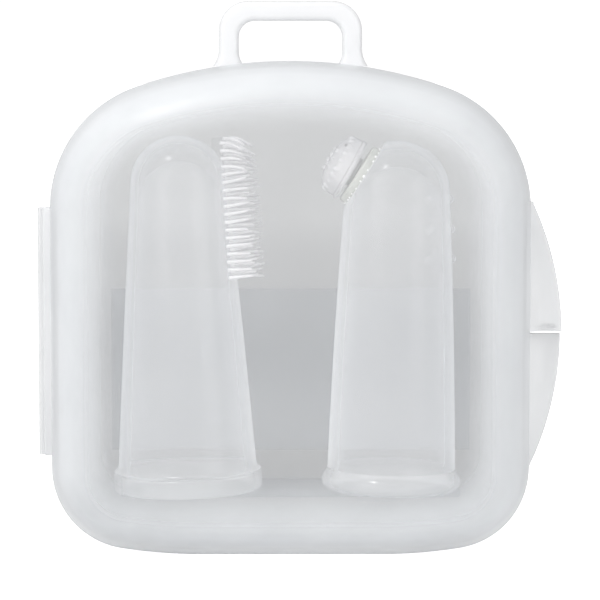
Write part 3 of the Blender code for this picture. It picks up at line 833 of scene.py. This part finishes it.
def massager_tuft(place, finish):
    """The neck, the plate and its short blunt bristles, crowded round a domed core."""
    draw = Random(5)
    shape = bmesh.new()
    start = 1.3 * MM
    plate = 1.9 * MM
    plate_top = plate + 0.9 * MM
    core_radius, core_height = 4.9 * MM, 3.2 * MM
    core = [(core_radius * cos(radians(turn)) ** 0.7,
             plate_top + core_height * sin(radians(turn)) ** 0.8)
            for turn in (0, 12, 24, 36, 48, 60, 70, 80)]
    profile = ([(0, start), (2.4 * MM, start), (2.4 * MM, plate - 0.2 * MM), (2.7 * MM, plate),
                (PAD_RADIUS - 0.25 * MM, plate), (PAD_RADIUS, plate + 0.25 * MM),
                (PAD_RADIUS, plate + 0.65 * MM), (PAD_RADIUS - 0.25 * MM, plate_top)]
               + core + [(0, plate_top + core_height)])
    turned(shape, profile, 72)
    outer_ring = 4.15
    for count, ring in ((1, 0), (6, 1.4), (13, 2.8), (20, outer_ring)):
        for item in range(count):
            turn = 2 * pi * (item + 0.5 * (ring > 2)) / count
            base = Vector((ring * MM * cos(turn), ring * MM * sin(turn), plate + 0.6 * MM))
            along = Vector((0.04 * cos(turn), 0.04 * sin(turn), 1))
            length = (3.9 - 1.5 * (ring / outer_ring) ** 2) * MM * draw.uniform(0.97, 1.03)
            bend = Vector((draw.uniform(-0.1, 0.1), draw.uniform(-0.1, 0.1), 0)) * MM
            bristle(shape, base, along, bend, length, 0.66 * MM, 0.6 * MM, 12)
    seat = (facet_frame() @ Matrix.Rotation(radians(TUFT_TIP), 4, "Y")
            @ Matrix.Rotation(pi / 2, 4, "Y"))
    bmesh.ops.transform(shape, matrix=place @ seat, verts=shape.verts)
    make_piece("massager_tuft", shape, [finish], "massager", "massager_head")


def massager(finishes):
    """The massager's thimble, pad and head."""
    origin, place = brush_place("massager_sleeve", MASSAGER)
    massager_thimble(place, finishes)
    massager_pad(place, finishes)
    massager_tuft(place, finishes["bristle"])
    return origin, MASSAGER


# ---------------------------------------------------------------- camera, light and floor

def make_camera():
    """A long lens, square on to the lid and slightly above it."""
    data = bpy.data.cameras.new("camera")
    data.sensor_width = SENSOR
    data.lens = SENSOR * CAMERA_DISTANCE / VIEW_WIDTH
    data.clip_start = 0.01
    data.clip_end = 20
    camera = bpy.data.objects.new("camera", data)
    bpy.context.scene.collection.objects.link(camera)
    pitch = radians(CAMERA_PITCH)
    camera.location = VIEW_CENTRE + CAMERA_DISTANCE * Vector((0, -cos(pitch), sin(pitch)))
    camera.rotation_euler = (pi / 2 - pitch, 0, 0)
    bpy.context.scene.camera = camera


def soft_box(name, place, size, power, aim=(0, 0, 0.04)):
    """A rectangular area light that faces the case."""
    data = bpy.data.lights.new(name, "AREA")
    data.shape = "RECTANGLE"
    data.size, data.size_y = size
    data.energy = power
    light = bpy.data.objects.new(name, data)
    bpy.context.scene.collection.objects.link(light)
    light.location = place
    light.rotation_euler = (Vector(aim) - Vector(place)).to_track_quat("-Z", "Y").to_euler()


def clear_view(tree):
    """1 where the camera sees a thing directly, down to 0 where walls of plastic are before it."""
    # The mask for the painted shade that the surround and the floor get through the case.
    path = tree.nodes.new("ShaderNodeLightPath")
    direct = remap(tree, path.outputs["Transparent Depth"], 1.0, 0.0, 0.0, VEILING_FACES)
    return calculate(tree, "MULTIPLY", direct, path.outputs["Is Camera Ray"])


def make_world(seen, behind, lighting):
    """A white surround that lights the object less than it shows, with painted shade where it is
    seen through the case.
    """
    world = bpy.data.worlds.new("surround")
    world.use_nodes = True
    tree = world.node_tree
    background = tree.nodes["Background"]
    background.inputs["Color"].default_value = (1, 1, 1, 1)
    # Painted shade: the surround is greyer where the camera sees it through walls of plastic.
    for_camera = remap(tree, clear_view(tree), behind, seen)
    path = tree.nodes.new("ShaderNodeLightPath")
    strength = remap(tree, path.outputs["Is Camera Ray"], lighting, for_camera)
    tree.links.new(strength, background.inputs["Strength"])
    bpy.context.scene.world = world


def ramp(tree, value, *stops):
    """A grey that changes with a value, through stops of (place, grey)."""
    made = tree.nodes.new("ShaderNodeValToRGB")
    elements = made.color_ramp.elements
    made.color_ramp.interpolation = "EASE"
    while len(elements) < len(stops):
        elements.new(0.5)
    for element, (place, grey) in zip(elements, stops):
        element.position = place
        element.color = (grey, grey, grey, 1)
    tree.links.new(value, made.inputs["Fac"])
    return made.outputs["Color"]


def make_floor(behind):
    """A plain white floor, which fades into the surround. Through the case it is painted in greys
    instead of lit: painted light and shade.
    """
    shape = bmesh.new()
    bmesh.ops.create_grid(shape, x_segments=1, y_segments=1, size=FLOOR_REACH)
    mesh = bpy.data.meshes.new("floor")
    shape.to_mesh(mesh)
    shape.free()
    finish = bpy.data.materials.new("pale_floor")
    finish.use_nodes = True
    tree = finish.node_tree
    shader = tree.nodes["Principled BSDF"]
    shader.inputs["Roughness"].default_value = 0.6
    path = tree.nodes.new("ShaderNodeLightPath")
    clear = clear_view(tree)
    veiled = calculate(tree, "SUBTRACT", path.outputs["Is Camera Ray"], clear)
    # Through the case the floor has no base colour, so only its painted greys show.
    tree.links.new(ramp(tree, veiled, (0, 0.75), (1, 0)), shader.inputs["Base Color"])
    place = tree.nodes.new("ShaderNodeTexCoord").outputs["Object"]
    distance = tree.nodes.new("ShaderNodeVectorMath")
    distance.operation = "LENGTH"
    tree.links.new(place, distance.inputs[0])
    direct = ramp(tree, distance.outputs["Value"], (0.06, 0.85), (0.5, 1.0))
    # Painted light and shade through the case: light under it, darkest 7.5 cm out, then up to the
    # surround's grey.
    through = ramp(tree, distance.outputs["Value"], (0, 0.7), (0.03, 0.42), (0.075, 0.16),
                   (0.14, 0.24), (0.3, 0.18), (0.6, 0.25), (1.0, behind))
    glow = tree.nodes.new("ShaderNodeMix")
    glow.data_type = "RGBA"
    tree.links.new(clear, glow.inputs[0])
    tree.links.new(through, glow.inputs[6])
    tree.links.new(direct, glow.inputs[7])
    tree.links.new(glow.outputs[2], shader.inputs["Emission Color"])
    tree.links.new(path.outputs["Is Camera Ray"], shader.inputs["Emission Strength"])
    mesh.materials.append(finish)
    floor = bpy.data.objects.new("floor", mesh)
    bpy.context.scene.collection.objects.link(floor)


def make_studio():
    """The floor, the surround and the lamps."""
    make_world(1.05, PAINTED_SHADE_BEHIND, 0.5)
    make_floor(PAINTED_SHADE_BEHIND)
    soft_box("key_left", (-0.33, -0.38, 0.26), (0.34, 0.4), 1.38)
    soft_box("fill_right", (0.38, -0.36, 0.14), (0.3, 0.4), 1.05)
    soft_box("top", (-0.18, -0.18, 0.5), (0.08, 0.08), 0.85)
    scene = bpy.context.scene
    scene.view_settings.view_transform = "Standard"
    scene.cycles.transparent_max_bounces = 64


def main():
    make_camera()
    make_studio()
    finishes = make_finishes()
    case_shell("lid_shell", -1, finishes["frosted"], "lid", "front_shell")
    case_shell("back_shell", 1, finishes["frosted"], "case_back", "rear_shell")
    closing_lip(finishes["inner"])
    hinge_leaf("lid_hinge_leaf", "front_hinge_leaf", "lid", finishes["solid"])
    hinge_leaf("back_hinge_leaf", "rear_hinge_leaf", "case_back", finishes["solid"])
    hinge_web(finishes["solid"])
    thumb_tab("lid_thumb_tab", "front_thumb_tab", "lid", finishes["solid"])
    thumb_tab("back_thumb_tab", "rear_thumb_tab", "case_back", finishes["solid"])
    carry_handle(finishes["handle"])
    brushes = [toothbrush(finishes), massager(finishes)]
    shelf(finishes["inner"])
    cradle(finishes["inner"], brushes)


main()
